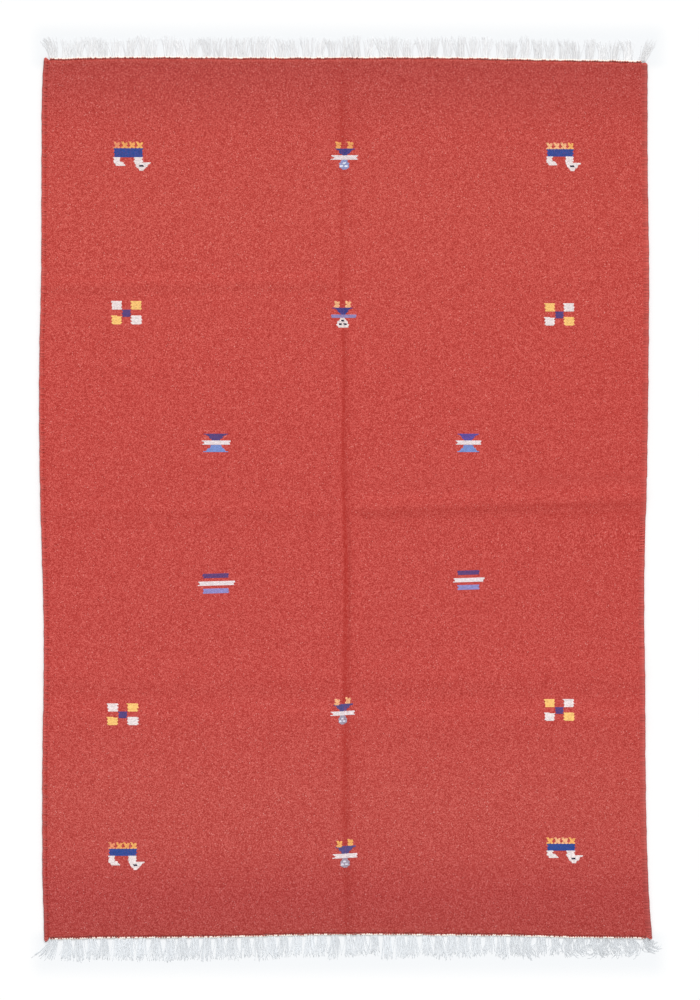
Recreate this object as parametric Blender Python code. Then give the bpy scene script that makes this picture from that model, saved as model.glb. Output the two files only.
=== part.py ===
"""Kilim rug, 160 x 230 cm, laid flat: one weft-faced wool cloth with raised selvedges and old fold
creases, and at each end a twined cotton heading with the warp ends coming out of it in locks.

Units are metres. +X runs across the rug, +Y along it and +Z up. The origin is on the floor, at the
middle of the whole outline, fringes included. The cloth is worked out in its own coordinates, s across
and t along, with its folds at straight lines s = 0 and t = constant, and is then placed on the floor.
"""

import math
import random

import bmesh
import bpy
import numpy as np

# Cloth
CLOTH_WIDTH = 1.60
CLOTH_LENGTH = 2.32
CLOTH_THICKNESS = 0.004
CLOTH_MIDDLE = (-0.0095, 0.0073, 0.0)  # the cloth's middle, seen from the middle of the whole outline
HALF_WIDTH = CLOTH_WIDTH / 2
HALF_LENGTH = CLOTH_LENGTH / 2
END_EASE = 0.16  # the last stretch of the cloth, over which its rows bend to follow the end

# How far each side lies outside the plain rectangle, at stations from the near end to the far end
SIDES = (  # t, left side, right side
    (-1.160, -0.0050, 0.0120),
    (-1.125, -0.0052, 0.0080),
    (-1.020, -0.0016, 0.0012),
    (-0.900, -0.0008, -0.0032),
    (-0.690, -0.0012, -0.0066),
    (-0.480, -0.0048, -0.0078),
    (-0.300, -0.0040, -0.0100),
    (-0.165, -0.0002, -0.0090),
    (-0.030, 0.0038, -0.0044),
    (0.130, 0.0069, -0.0014),
    (0.390, 0.0066, 0.0018),
    (0.575, 0.0025, 0.0030),
    (0.890, 0.0010, -0.0010),
    (1.100, -0.0014, -0.0012),
    (1.160, -0.0050, -0.0012),
)
# How far each end lies outside the plain rectangle, at stations from left to right
ENDS = (  # s, near end, far end
    (-0.800, 0.0032, -0.0028),
    (-0.750, 0.0030, -0.0028),
    (-0.670, 0.0008, -0.0004),
    (-0.515, -0.0004, 0.0008),
    (-0.277, -0.0034, -0.0006),
    (-0.120, -0.0074, -0.0005),
    (0.020, -0.0088, -0.0002),
    (0.277, -0.0069, -0.0002),
    (0.436, -0.0056, -0.0036),
    (0.594, -0.0014, -0.0067),
    (0.750, 0.0005, -0.0094),
    (0.800, 0.0018, -0.0110),
)

# Selvedge rib: thickness of the cloth by the distance in from its side
SELVEDGE = (  # distance in, thickness
    (0.0, 0.0032),
    (0.0020, 0.0050),
    (0.0050, 0.0058),
    (0.0080, 0.0050),
    (0.0105, 0.0034),
    (0.0140, CLOTH_THICKNESS),
)
EAR_PEAK = 0.0050  # distance in from the side of the tip of the ear at a corner
EAR_FOOT = 0.0140  # distance in from the side of the ear's foot
EARS = (  # end, side, how far the ear stands out past the end at the very side, and at its tip
    (1, -1, 0.0025, 0.0055),
    (1, 1, -0.0032, -0.0006),
    (-1, -1, 0.0050, 0.0110),
    (-1, 1, 0.0028, 0.0045),
)
EAR_EASE = 0.016  # the last stretch of the selvedge, over which it is drawn out into the ear

# Folds. A trough is a line pressed to the floor between two raised flanks. A ridge stands up.
FOLD_CREST = 0.012  # distance from a trough's line to the crest of its flanks
FOLD_REACH = 0.055  # distance from a fold's line to where the cloth lies flat again
LONG_FOLD = (  # t, how far the line wanders to the right, rise of the flanks
    (-1.160, 0.0050, 0.0020),
    (-0.900, 0.0013, 0.0028),
    (-0.530, 0.0028, 0.0036),
    (-0.060, 0.0022, 0.0036),
    (0.000, -0.0018, 0.0026),
    (0.410, -0.0040, 0.0026),
    (0.520, -0.0090, 0.0017),
    (0.890, -0.0080, 0.0015),
    (1.160, -0.0040, 0.0012),
)
CROSS_FOLDS = (  # t at the left side, middle and right side, then rise left and right (trough: negative)
    (0.560, 0.572, 0.578, 0.0026, -0.0008),
    (-0.041, -0.042, -0.014, -0.0016, -0.0034),
    (-0.528, -0.534, -0.530, -0.0014, -0.0014),
)
SIDE_BLEND = 0.08  # width over which a cross fold turns from its left rise to its right one

# Grid of the cloth between its selvedges and folds
PLAIN_COLUMNS = 8  # from a selvedge to the long fold
PLAIN_ROWS = 15
PLAIN_ROWS_END = 0.98
PLAIN_ROW_CLEARANCE = 0.08  # no plain row comes nearer to a fold than this

# Fringe
HEADING_GAP = 0.0003
HEADING_WIDTH = 0.0045
HEADING_HEIGHT = 0.0038
HEADING_INSET = 0.016  # the heading starts this far in from the cloth's sides
LOCKS = 47
STRANDS_A_LOCK = 3
STRAND_WIDTH = 0.0036
STRAND_TIP_SHARE = 0.72  # width of a strand at its tip, as a share of its width at the root
STRAND_PATH = (0.0, 0.22, 0.6, 1.0)  # stations along a strand
STRAND_CURL = 1.4  # above 1, a strand leaves the heading square and leans more towards its tip
LOCK_ROOT_SPREAD = 0.0056  # between a lock's strands where they leave the heading
LOCK_TIP_SPREAD = 0.0084
LOCK_REACH = 0.051
REACH_VARIES = 0.004
LEAN_VARIES = 0.0045
BOW_VARIES = 0.0022
CORNER_LOCKS = {  # (end, side): lean outwards, reach, spread of the tips, loss of reach to the outside
    (1, -1): (0.019, 0.048, 0.0110, 0.003),
    (1, 1): (0.034, 0.040, 0.0090, 0.003),
    (-1, -1): (0.039, 0.045, 0.0105, 0.004),
    (-1, 1): (0.038, 0.033, 0.0140, 0.012),
}
LONG_LOCK = (-1, 2)  # end and number of the one lock that hangs out further than its neighbours
LONG_LOCK_REACH = 0.068

WOOL_RED = (0.571, 0.082, 0.069)
COTTON_WHITE = (0.80, 0.81, 0.82)


def curve_through(table, column, at):
    """Value at each station of `at` on the smooth curve through one column of a table."""
    stations = np.array([row[0] for row in table])
    values = np.array([row[column] for row in table])
    slopes = np.gradient(values, stations)
    k = np.clip(np.searchsorted(stations, at) - 1, 0, len(stations) - 2)
    gap = stations[k + 1] - stations[k]
    f = np.clip((at - stations[k]) / gap, 0, 1)
    ends = (1 + 2 * f) * (1 - f) ** 2 * values[k] + f**2 * (3 - 2 * f) * values[k + 1]
    tangents = f * (1 - f) ** 2 * slopes[k] + f**2 * (f - 1) * slopes[k + 1]
    return ends + tangents * gap


def ease(share):
    """0 below 0, 1 above 1, and a soft step between."""
    f = np.clip(share, 0, 1)
    return f * f * (3 - 2 * f)


def trough(distance):
    """A trough's lift: none on its line, 1 at the crests beside it, none again at its reach."""
    a = np.abs(distance)
    inner = 0.5 - 0.5 * np.cos(math.pi * a / FOLD_CREST)
    outer = 0.5 + 0.5 * np.cos(math.pi * (a - FOLD_CREST) / (FOLD_REACH - FOLD_CREST))
    return np.where(a < FOLD_CREST, inner, np.where(a < FOLD_REACH, outer, 0.0))


def ridge(distance):
    """A ridge's lift: 1 on its line and none past half its reach."""
    a = np.clip(np.abs(distance) * 2 / FOLD_REACH, 0, 1)
    return 0.5 + 0.5 * np.cos(math.pi * a)


def fold_lift(s, t):
    """How far the cloth is lifted off the floor by the folds at s, t."""
    lift = curve_through(LONG_FOLD, 2, t) * trough(s)
    to_right = ease(s / SIDE_BLEND + 0.5)
    for left_t, middle_t, right_t, left_rise, right_rise in CROSS_FOLDS:
        distance = t - middle_t
        for rise, share in ((left_rise, 1 - to_right), (right_rise, to_right)):
            shape = ridge(distance) if rise > 0 else trough(distance)
            lift = np.maximum(lift, abs(rise) * share * shape)
    return lift


def fold_drift(s, t):
    """How far the cloth's rows run up or down the rug near the cross folds, which aren't quite square."""
    drift = np.zeros_like(t)
    for left_t, middle_t, right_t, *rises in CROSS_FOLDS:
        slant = np.interp(s, (-HALF_WIDTH, 0, HALF_WIDTH), (left_t - middle_t, 0, right_t - middle_t))
        drift += slant * ease(2 - np.abs(t - middle_t) / FOLD_REACH)
    return drift


def end_line(s, end):
    """How far past the plain rectangle the cloth ends, without its ears. end is 1 far, -1 near."""
    return curve_through(ENDS, 2 if end > 0 else 1, s)


def ear_height(s, end):
    """How far the selvedge stands out past the cloth's end: a small peak near each side."""
    height = np.zeros_like(s)
    for ear_end, side, at_side, at_tip in EARS:
        if ear_end == end:
            height += np.interp(HALF_WIDTH - side * s, (0, EAR_PEAK, EAR_FOOT), (at_side, at_tip, 0))
    return height


def on_floor(s, t, with_ears=True):
    """x and y of the cloth's point s, t."""
    side = np.where(s < 0, -curve_through(SIDES, 1, t), curve_through(SIDES, 2, t))
    outward = np.abs(s) / HALF_WIDTH
    x = s + side * outward + curve_through(LONG_FOLD, 1, t) * (1 - outward)
    y = t + fold_drift(s, t)
    for end in (1, -1):
        past = end * t - HALF_LENGTH
        y += end * end_line(s, end) * ease(1 + past / END_EASE)
        if with_ears:
            y += end * ear_height(s, end) * ease(1 + past / EAR_EASE)
    return x, y


def column_stations():
    """Where the cloth's grid has a column: its selvedge ribs, its long fold and the plain stretches."""
    near_side = [HALF_WIDTH - row[0] for row in SELVEDGE] + [HALF_WIDTH - HEADING_INSET]
    plain = list(np.linspace(HALF_WIDTH - HEADING_INSET, 2 * FOLD_REACH, PLAIN_COLUMNS)[1:])
    fold = [FOLD_REACH, (FOLD_CREST + FOLD_REACH) / 2, FOLD_CREST, FOLD_CREST / 2]
    right = near_side + plain + fold
    return np.array(sorted([-s for s in right] + [0.0] + right))


def row_stations():
    """Where the cloth's grid has a row: its ends, its cross folds and the plain stretches."""
    ends = [HALF_LENGTH, HALF_LENGTH - EAR_EASE / 2, HALF_LENGTH - EAR_EASE, HALF_LENGTH - END_EASE / 2]
    rows = [end * t for t in ends for end in (1, -1)]
    offsets = (0, FOLD_CREST / 2, FOLD_CREST, FOLD_REACH / 2, (FOLD_CREST + FOLD_REACH) / 2, FOLD_REACH)
    folds = [row[1] for row in CROSS_FOLDS]
    for middle_t in folds:
        rows += [middle_t + way * offset for offset in offsets for way in (1, -1)]
    plain = np.linspace(-PLAIN_ROWS_END, PLAIN_ROWS_END, PLAIN_ROWS)
    rows += [t for t in plain if min(abs(t - fold) for fold in folds) > PLAIN_ROW_CLEARANCE]
    return np.array(sorted(set(rows)))


def closed_sheet(name, columns, rows, place, top, underside):
    """A sheet that is closed all round: a grid over columns and rows, laid out on the floor by `place`,
    pulled down once to a second layer. `top` and `underside` give the height of the two layers."""
    sheet = bmesh.new()
    s_of = sheet.verts.layers.float.new("s")
    t_of = sheet.verts.layers.float.new("t")
    bmesh.ops.create_grid(sheet, x_segments=len(columns) - 1, y_segments=len(rows) - 1, size=1)
    for vertex in sheet.verts:
        vertex[s_of] = columns[round((vertex.co.x + 1) / 2 * (len(columns) - 1))]
        vertex[t_of] = rows[round((vertex.co.y + 1) / 2 * (len(rows) - 1))]
    upper = list(sheet.verts)
    pulled = bmesh.ops.extrude_face_region(sheet, geom=list(sheet.faces))["geom"]
    lower = [item for item in pulled if isinstance(item, bmesh.types.BMVert)]
    for layer, height in ((upper, top), (lower, underside)):
        s = np.array([vertex[s_of] for vertex in layer])
        t = np.array([vertex[t_of] for vertex in layer])
        x, y = place(s, t)
        for vertex, position in zip(layer, np.column_stack((x, y, height(s, t))).tolist()):
            vertex.co = position
    bmesh.ops.recalc_face_normals(sheet, faces=list(sheet.faces))
    mesh = bpy.data.meshes.new(name)
    sheet.to_mesh(mesh)
    sheet.free()
    return bpy.data.objects.new(name, mesh)


def woven_thickness(s):
    """Thickness of the cloth: even in the field and a rounded rib along each side."""
    stations, thickness = zip(*SELVEDGE)
    return np.interp(HALF_WIDTH - np.abs(s), stations, thickness)


def make_cloth():
    """The woven cloth, with its selvedges, ears and folds."""
    return closed_sheet(
        "kilim_cloth",
        column_stations(),
        row_stations(),
        on_floor,
        lambda s, t: fold_lift(s, t) + woven_thickness(s),
        fold_lift,
    )


def make_heading(name, end):
    """The heading that the cloth's wefts are beaten against: a strip along the end, a hair away from it."""
    columns = column_stations()
    columns = columns[np.abs(columns) < HALF_WIDTH - HEADING_INSET + HEADING_GAP]

    def beside_end(s, t):
        x, y = on_floor(s, np.full_like(s, end * HALF_LENGTH), with_ears=False)
        return x, y + end * (HEADING_GAP + t * HEADING_WIDTH)

    return closed_sheet(
        name,
        columns,
        np.array((0.0, 1.0)),
        beside_end,
        lambda s, t: np.full_like(s, HEADING_HEIGHT),
        lambda s, t: np.zeros_like(s),
    )


def lock_shapes(end, draw):
    """Lean, reach, spread of the tips, loss of reach towards the outer side, and bow of each lock."""
    shapes = []
    for number in range(LOCKS):
        lean = draw.uniform(-LEAN_VARIES, LEAN_VARIES)
        reach = LOCK_REACH + draw.uniform(-REACH_VARIES, REACH_VARIES)
        bow = draw.uniform(-BOW_VARIES, BOW_VARIES)
        spread = LOCK_TIP_SPREAD
        rake = 0.0
        side = -1 if number == 0 else 1
        if number in (0, LOCKS - 1):
            lean, reach, spread, rake = CORNER_LOCKS[end, side]
            lean *= side
            bow = 0.0
        if (end, number) == LONG_LOCK:
            reach = LONG_LOCK_REACH
        shapes.append((lean, reach, spread, rake * side, bow))
    return shapes


def make_strands(name, end, draw):
    """All the warp ends at one end of the rug: four-sided strands, three to a lock, that leave the
    heading at half its height and then lie level on the floor."""
    curve = bpy.data.curves.new(name, "CURVE")
    curve.dimensions = "3D"
    curve.twist_mode = "Z_UP"
    curve.bevel_depth = STRAND_WIDTH / math.sqrt(2)
    curve.bevel_resolution = 0
    curve.use_fill_caps = True
    path = np.array(STRAND_PATH)
    widths = 1 - (1 - STRAND_TIP_SHARE) * path
    first = HALF_WIDTH - HEADING_INSET - STRANDS_A_LOCK / 2 * LOCK_ROOT_SPREAD
    roots = np.linspace(-first, first, LOCKS)
    for root, (lean, reach, spread, rake, bow) in zip(roots, lock_shapes(end, draw)):
        for place in range(STRANDS_A_LOCK):
            beside = place - (STRANDS_A_LOCK - 1) / 2
            s = np.full(1, root + beside * LOCK_ROOT_SPREAD)
            x, y = on_floor(s, np.full(1, end * HALF_LENGTH), with_ears=False)
            sideways = lean + beside * (spread - LOCK_ROOT_SPREAD)
            out = HEADING_GAP + HEADING_WIDTH / 2 + path * (reach - beside * rake)
            points = np.empty((len(path), 3))
            points[:, 0] = x[0] + sideways * path**STRAND_CURL + bow * np.sin(math.pi * path)
            points[:, 1] = y[0] + end * out
            points[:, 2] = widths * STRAND_WIDTH / 2
            points[0, 2] = HEADING_HEIGHT / 2
            spline = curve.splines.new("POLY")
            spline.points.add(len(path) - 1)
            for point, position, width in zip(spline.points, points.tolist(), widths):
                point.co = (*position, 1)
                point.radius = width
                point.tilt = math.pi / 4
    return bpy.data.objects.new(name, curve)


def mesh_of_curve(curve_object, collection):
    """A mesh copy of a curve object, with its caps welded on. The curve is removed."""
    collection.objects.link(curve_object)
    graph = bpy.context.evaluated_depsgraph_get()
    mesh = bpy.data.meshes.new_from_object(curve_object.evaluated_get(graph))
    welded = bmesh.new()
    welded.from_mesh(mesh)
    bmesh.ops.remove_doubles(welded, verts=list(welded.verts), dist=1e-6)
    bmesh.ops.recalc_face_normals(welded, faces=list(welded.faces))
    welded.to_mesh(mesh)
    welded.free()
    name = curve_object.name
    matrix = curve_object.matrix_world.copy()
    bpy.data.objects.remove(curve_object)
    made = bpy.data.objects.new(name, mesh)
    made.matrix_world = matrix
    collection.objects.link(made)
    return made


def material(name, colour, roughness):
    made = bpy.data.materials.new(name)
    made.use_nodes = True
    shader = made.node_tree.nodes["Principled BSDF"]
    shader.inputs["Base Color"].default_value = (*colour, 1)
    shader.inputs["Roughness"].default_value = roughness
    shader.inputs["Metallic"].default_value = 0.0
    return made


def new_collection(name):
    made = bpy.data.collections.new(name)
    bpy.context.scene.collection.children.link(made)
    return made


def build():
    for thing in list(bpy.data.objects):
        bpy.data.objects.remove(thing, do_unlink=True)
    rug = new_collection("kilim_rug")
    tools = new_collection("kilim_rug_tools")
    middle = bpy.data.objects.new("kilim_rug_middle", None)
    rug.objects.link(middle)

    cloth = make_cloth()
    cloth.data.materials.append(material("wool weft", WOOL_RED, 0.9))
    pieces = [cloth]

    cotton = material("cotton warp", COTTON_WHITE, 0.85)
    for name, end, seed in (("fringe_top", 1, 11), ("fringe_bottom", -1, 12)):
        heading = make_heading(name, end)
        heading.data.materials.append(cotton)
        strands = mesh_of_curve(make_strands(name + "_strands", end, random.Random(seed)), tools)
        strands.data.materials.append(cotton)
        strands.parent = middle
        strands.location = CLOTH_MIDDLE
        strands.hide_render = True
        strands.display_type = "WIRE"
        rooted = heading.modifiers.new("strands rooted in the heading", "BOOLEAN")
        rooted.operation = "UNION"
        rooted.solver = "EXACT"
        rooted.object = strands
        pieces.append(heading)

    for piece in pieces:
        piece.parent = middle
        piece.location = CLOTH_MIDDLE
        rug.objects.link(piece)


build()
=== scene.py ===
"""Kilim rug, 160 x 232 cm with its fringes beyond, laid flat on a pale floor and seen from straight above.

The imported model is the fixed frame. The sections follow the rug as it is made: the woven cloth, the
motifs inlaid in it, its selvedges, the twined headings at its ends and the fringes. Units are metres,
and the tables of the motifs are in millimetres. +X runs across the rug, +Y along it and +Z up.
"""

import math
import random

import bpy
import numpy as np
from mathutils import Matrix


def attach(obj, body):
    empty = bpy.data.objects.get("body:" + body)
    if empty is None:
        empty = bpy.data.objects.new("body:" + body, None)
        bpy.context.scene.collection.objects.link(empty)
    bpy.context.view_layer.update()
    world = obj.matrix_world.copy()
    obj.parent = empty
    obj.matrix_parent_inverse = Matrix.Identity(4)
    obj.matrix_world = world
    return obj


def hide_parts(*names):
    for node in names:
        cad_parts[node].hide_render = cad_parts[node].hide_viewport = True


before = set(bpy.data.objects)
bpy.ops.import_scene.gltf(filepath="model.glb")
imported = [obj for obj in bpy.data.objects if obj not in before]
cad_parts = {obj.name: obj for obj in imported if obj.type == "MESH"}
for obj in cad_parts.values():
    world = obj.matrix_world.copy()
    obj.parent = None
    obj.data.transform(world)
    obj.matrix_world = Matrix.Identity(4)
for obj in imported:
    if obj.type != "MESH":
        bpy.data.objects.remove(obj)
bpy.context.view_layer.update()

# ----------------------------------------------------------
# The cloth: one weft-faced plain weave. Hand-spun red wool wefts are beaten down over cotton warps
# until they hide them. It is worked out flat, s across and t along, and is then laid on the floor
# with the creases of its old folds, which are low troughs and ridges.
# ----------------------------------------------------------
CLOTH_WIDTH = 1.60
CLOTH_LENGTH = 2.32
CLOTH_THICKNESS = 0.004
CLOTH_MIDDLE = (-0.0095, 0.0073)  # the cloth's middle, seen from the middle of the whole outline
HALF_WIDTH = CLOTH_WIDTH / 2
HALF_LENGTH = CLOTH_LENGTH / 2
END_EASE = 0.16  # the last stretch of the cloth, over which its rows bend to follow the end
SIDES = (  # t, how far the left side and the right side lie outside the plain rectangle
    (-1.160, -0.0050, 0.0120),
    (-1.125, -0.0052, 0.0080),
    (-1.020, -0.0016, 0.0012),
    (-0.900, -0.0008, -0.0032),
    (-0.690, -0.0012, -0.0066),
    (-0.480, -0.0048, -0.0078),
    (-0.300, -0.0040, -0.0100),
    (-0.165, -0.0002, -0.0090),
    (-0.030, 0.0038, -0.0044),
    (0.130, 0.0069, -0.0014),
    (0.390, 0.0066, 0.0018),
    (0.575, 0.0025, 0.0030),
    (0.890, 0.0010, -0.0010),
    (1.100, -0.0014, -0.0012),
    (1.160, -0.0050, -0.0012),
)
ENDS = (  # s, how far the near end and the far end lie outside the plain rectangle
    (-0.800, 0.0032, -0.0028),
    (-0.750, 0.0030, -0.0028),
    (-0.670, 0.0008, -0.0004),
    (-0.515, -0.0004, 0.0008),
    (-0.277, -0.0034, -0.0006),
    (-0.120, -0.0074, -0.0005),
    (0.020, -0.0088, -0.0002),
    (0.277, -0.0069, -0.0002),
    (0.436, -0.0056, -0.0036),
    (0.594, -0.0014, -0.0067),
    (0.750, 0.0005, -0.0094),
    (0.800, 0.0018, -0.0110),
)
SELVEDGE = (  # distance in from the side, thickness of the cloth there
    (0.0, 0.0032),
    (0.0020, 0.0050),
    (0.0050, 0.0058),
    (0.0080, 0.0050),
    (0.0105, 0.0034),
    (0.0140, CLOTH_THICKNESS),
)
EAR_PEAK = 0.0050  # distance in from the side of the tip of the ear at a corner
EAR_FOOT = 0.0140  # distance in from the side where the ear ends
EAR_EASE = 0.016  # length over which the rows bend out into the ears
EARS = (  # end, side, how far the ear stands out past the end at the very side, and at its tip
    (1, -1, 0.0025, 0.0055),
    (1, 1, -0.0032, -0.0006),
    (-1, -1, 0.0050, 0.0110),
    (-1, 1, 0.0028, 0.0045),
)
END_THICKNESS = 0.0022  # the last picks lie flatter, and the cloth thins to this at its very end
END_THINS = 0.012  # length over which it thins
END_TUCK = 0.0014  # between the ears the sheet stops this far short of the last picks' loops
RIPPLE = 0.0007  # rise of the small waves along the ends and the sides
FOLD_CREST = 0.012  # distance from the long fold's line to the crest of its flanks
FOLD_REACH = 0.055  # distance from a fold's line to where the cloth lies flat again
LONG_FOLD = (  # t, how far the line wanders to the right, rise of the flanks
    (-1.160, 0.0050, 0.0020),
    (-0.900, 0.0013, 0.0028),
    (-0.530, 0.0028, 0.0036),
    (-0.060, 0.0022, 0.0036),
    (0.000, -0.0018, 0.0026),
    (0.410, -0.0040, 0.0026),
    (0.520, -0.0090, 0.0017),
    (0.890, -0.0080, 0.0015),
    (1.160, -0.0040, 0.0012),
)
CROSS_FOLDS = (  # t at the left side, middle and right side, then form, rise, crest and reach of each half
    (0.560, 0.572, 0.578, ("ridge", 0.0022, 0.000, 0.032), ("ridge", 0.0004, 0.000, 0.028)),
    (-0.041, -0.042, -0.014, ("ridge", 0.0014, 0.006, 0.036), ("ridge", 0.0032, 0.014, 0.038)),
    (-0.528, -0.534, -0.530, ("trough", 0.0022, 0.050, 0.130), ("trough", 0.0028, 0.055, 0.140)),
)
SIDE_BLEND = 0.08  # width over which a cross fold turns from its left form to its right one
LONG_CREASE = (  # t, share of painted shade on the line, width of the band to that below, shift to the right
    (-1.160, 0.20, 1.40, 0.0010),
    (-1.100, 0.25, 1.40, 0.0015),
    (-1.030, 0.36, 1.40, 0.0015),
    (-0.930, 0.36, 1.50, 0.0000),
    (-0.750, 0.43, 1.60, -0.0014),
    (-0.530, 0.48, 1.30, -0.0026),
    (-0.300, 0.54, 0.95, -0.0045),
    (-0.110, 0.62, 0.95, -0.0040),
    (0.060, 0.58, 0.95, 0.0004),
    (0.250, 0.55, 0.72, 0.0002),
    (0.400, 0.51, 0.75, 0.0000),
    (0.560, 0.39, 0.75, -0.0004),
    (0.840, 0.37, 0.80, 0.0000),
    (0.980, 0.42, 1.50, -0.0020),
    (1.060, 0.31, 1.50, -0.0015),
    (1.160, 0.20, 1.40, 0.0010),
)
CREASE_BAND = (  # distance to the right of the line, share of the line's painted shade
    (-0.0120, 0.00),
    (-0.0080, 0.14),
    (-0.0053, 0.52),
    (-0.0026, 0.90),
    (0.0000, 1.00),
    (0.0026, 0.76),
    (0.0053, 0.50),
    (0.0080, 0.34),
    (0.0130, 0.22),
    (0.0240, 0.12),
    (0.0340, 0.00),
)
CROSS_CREASES = (  # t, s from and to, share of the painted shade, where that fades out above and below
    (-0.042, -0.80, -0.02, 0.075, 0.020, 0.024),
    (-0.077, -0.80, -0.02, 0.085, 0.010, 0.014),
    (-0.039, 0.02, 0.52, 0.215, 0.009, 0.030),
    (-0.040, 0.50, 0.80, 0.200, 0.010, 0.014),
    (-0.062, 0.50, 0.80, 0.160, 0.008, 0.026),
)
CREASE_END = 0.05  # length over which a cross crease fades out at its ends
GROOVE = 0.0108  # distance in from the side of the groove beside the left selvedge's rib
GROOVE_REACH = 0.0036  # from the middle of the groove to its edges
SELVEDGE_TONES = (  # t, share of painted shade in the left groove, how light the left and right ribs are
    (-1.160, 0.80, 0.88, 0.97),
    (-0.740, 0.80, 0.88, 0.97),
    (-0.600, 0.50, 0.97, 0.98),
    (1.160, 0.50, 0.97, 0.98),
)
SIDE_TONE = (0.00, 0.06)  # share of the deep red at the left and right side, growing towards the side

COLUMN_STEP = 0.014  # between the lines of the cloth's grid where it lies flat
ROW_STEP = 0.015
SIDE_MARGIN = 0.02  # nearer a side, the columns are the stations of its selvedge
FOLD_STEP = 0.0036  # between them on a fold
UNDULATION = 0.00035  # rise of the slight unevenness that a hand-woven cloth keeps
UNDERSIDE_CLEARANCE = 0.0004  # room for the motifs' floats under the cloth

WARP_PITCH = 0.0044  # one float of the weft passes over one warp
PICK_PITCH = 0.0023  # from one weft to the next


def curve_through(table, column, at):
    """Cubic through one column of a table: each stretch runs between its two values and leaves and meets
    them at the slopes of their neighbours."""
    stations = np.array([row[0] for row in table])
    values = np.array([row[column] for row in table])
    slopes = np.gradient(values, stations)
    k = np.clip(np.searchsorted(stations, at) - 1, 0, len(stations) - 2)
    gap = stations[k + 1] - stations[k]
    f = np.clip((at - stations[k]) / gap, 0, 1)
    ends = (1 + 2 * f) * (1 - f) ** 2 * values[k] + f**2 * (3 - 2 * f) * values[k + 1]
    tangents = f * (1 - f) ** 2 * slopes[k] + f**2 * (f - 1) * slopes[k + 1]
    return ends + tangents * gap


def line_through(table, column, at):
    """One column of a table, read off between its stations by straight lines."""
    return np.interp(at, [row[0] for row in table], [row[column] for row in table])


def ease(share):
    """3 f squared less 2 f cubed, with f the share held between 0 and 1."""
    f = np.clip(share, 0, 1)
    return f * f * (3 - 2 * f)


def trough(distance, crest, reach):
    """Half a cosine wave up from 0 on the line to 1 at the crest, and half a wave down to 0 at the reach."""
    a = np.abs(distance)
    inner = 0.5 - 0.5 * np.cos(math.pi * a / crest)
    outer = 0.5 + 0.5 * np.cos(math.pi * (a - crest) / (reach - crest))
    return np.where(a < crest, inner, np.where(a < reach, outer, 0.0))


def ridge(distance, crest, reach):
    """Half a cosine wave down from 1 at the crest to 0 at the reach from it, on both sides."""
    a = np.clip(np.abs(distance - crest) / reach, 0, 1)
    return 0.5 + 0.5 * np.cos(math.pi * a)


def fold_lift(s, t):
    """The highest of the lengthwise trough and of each cross fold's trough or ridge at s, t."""
    lift = curve_through(LONG_FOLD, 2, t) * trough(s, FOLD_CREST, FOLD_REACH)
    to_right = ease(s / SIDE_BLEND + 0.5)
    for left_t, middle_t, right_t, *halves in CROSS_FOLDS:
        for (form, rise, crest, reach), share in zip(halves, (1 - to_right, to_right)):
            shape = trough if form == "trough" else ridge
            lift = np.maximum(lift, rise * share * shape(t - middle_t, crest, reach))
    return lift


def painted_shade_share(s, t):
    """Share of painted shade at s, t: the long crease's band, as wide as its table says, or the most of
    each cross crease and of the groove beside the left selvedge, which are eased bells. To these the sides
    add their own deep red, in proportion to the square of s."""
    distances, shares = zip(*CREASE_BAND)
    aside = (s - curve_through(LONG_CREASE, 3, t)) / curve_through(LONG_CREASE, 2, t)
    tone = curve_through(LONG_CREASE, 1, t) * np.interp(aside, distances, shares)
    for line_t, start, stop, share, above, below in CROSS_CREASES:
        bell = ease(1 - np.abs(t - line_t) / np.where(t > line_t, above, below))
        along = ease((s - start) / CREASE_END + 0.5) * ease((stop - s) / CREASE_END + 0.5)
        tone = np.maximum(tone, share * bell * along)
    groove = ease(1 - np.abs(HALF_WIDTH - np.abs(s) - GROOVE) / GROOVE_REACH)
    tone = np.maximum(tone, np.where(s < 0, line_through(SELVEDGE_TONES, 1, t), 0.0) * groove)
    return tone + np.where(s < 0, *SIDE_TONE) * (s / HALF_WIDTH) ** 2


def fold_drift(s, t):
    """Near each cross fold the rows slant from its middle to its t at the left and the right side."""
    drift = np.zeros_like(t)
    for left_t, middle_t, right_t, *_ in CROSS_FOLDS:
        slant = np.interp(s, (-HALF_WIDTH, 0, HALF_WIDTH), (left_t - middle_t, 0, right_t - middle_t))
        drift += slant * ease(2 - np.abs(t - middle_t) / FOLD_REACH)
    return drift


def end_shape(s, end):
    """Straight lines from the very side to the tip of the ear, and down to the tucked end between them."""
    height = np.full(s.shape, -END_TUCK)
    for ear_end, side, at_side, at_tip in EARS:
        if ear_end == end:
            corners = (at_side + END_TUCK, at_tip + END_TUCK, 0)
            height += np.interp(HALF_WIDTH - side * s, (0, EAR_PEAK, EAR_FOOT), corners)
    return height


def ripple(along):
    """Small uneven waves, 37, 59 and 117 mm long, of -1 to 1."""
    return (np.sin(170 * along) + np.sin(106 * along + 1.3) + np.sin(54 * along + 4.1)) / 3


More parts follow.
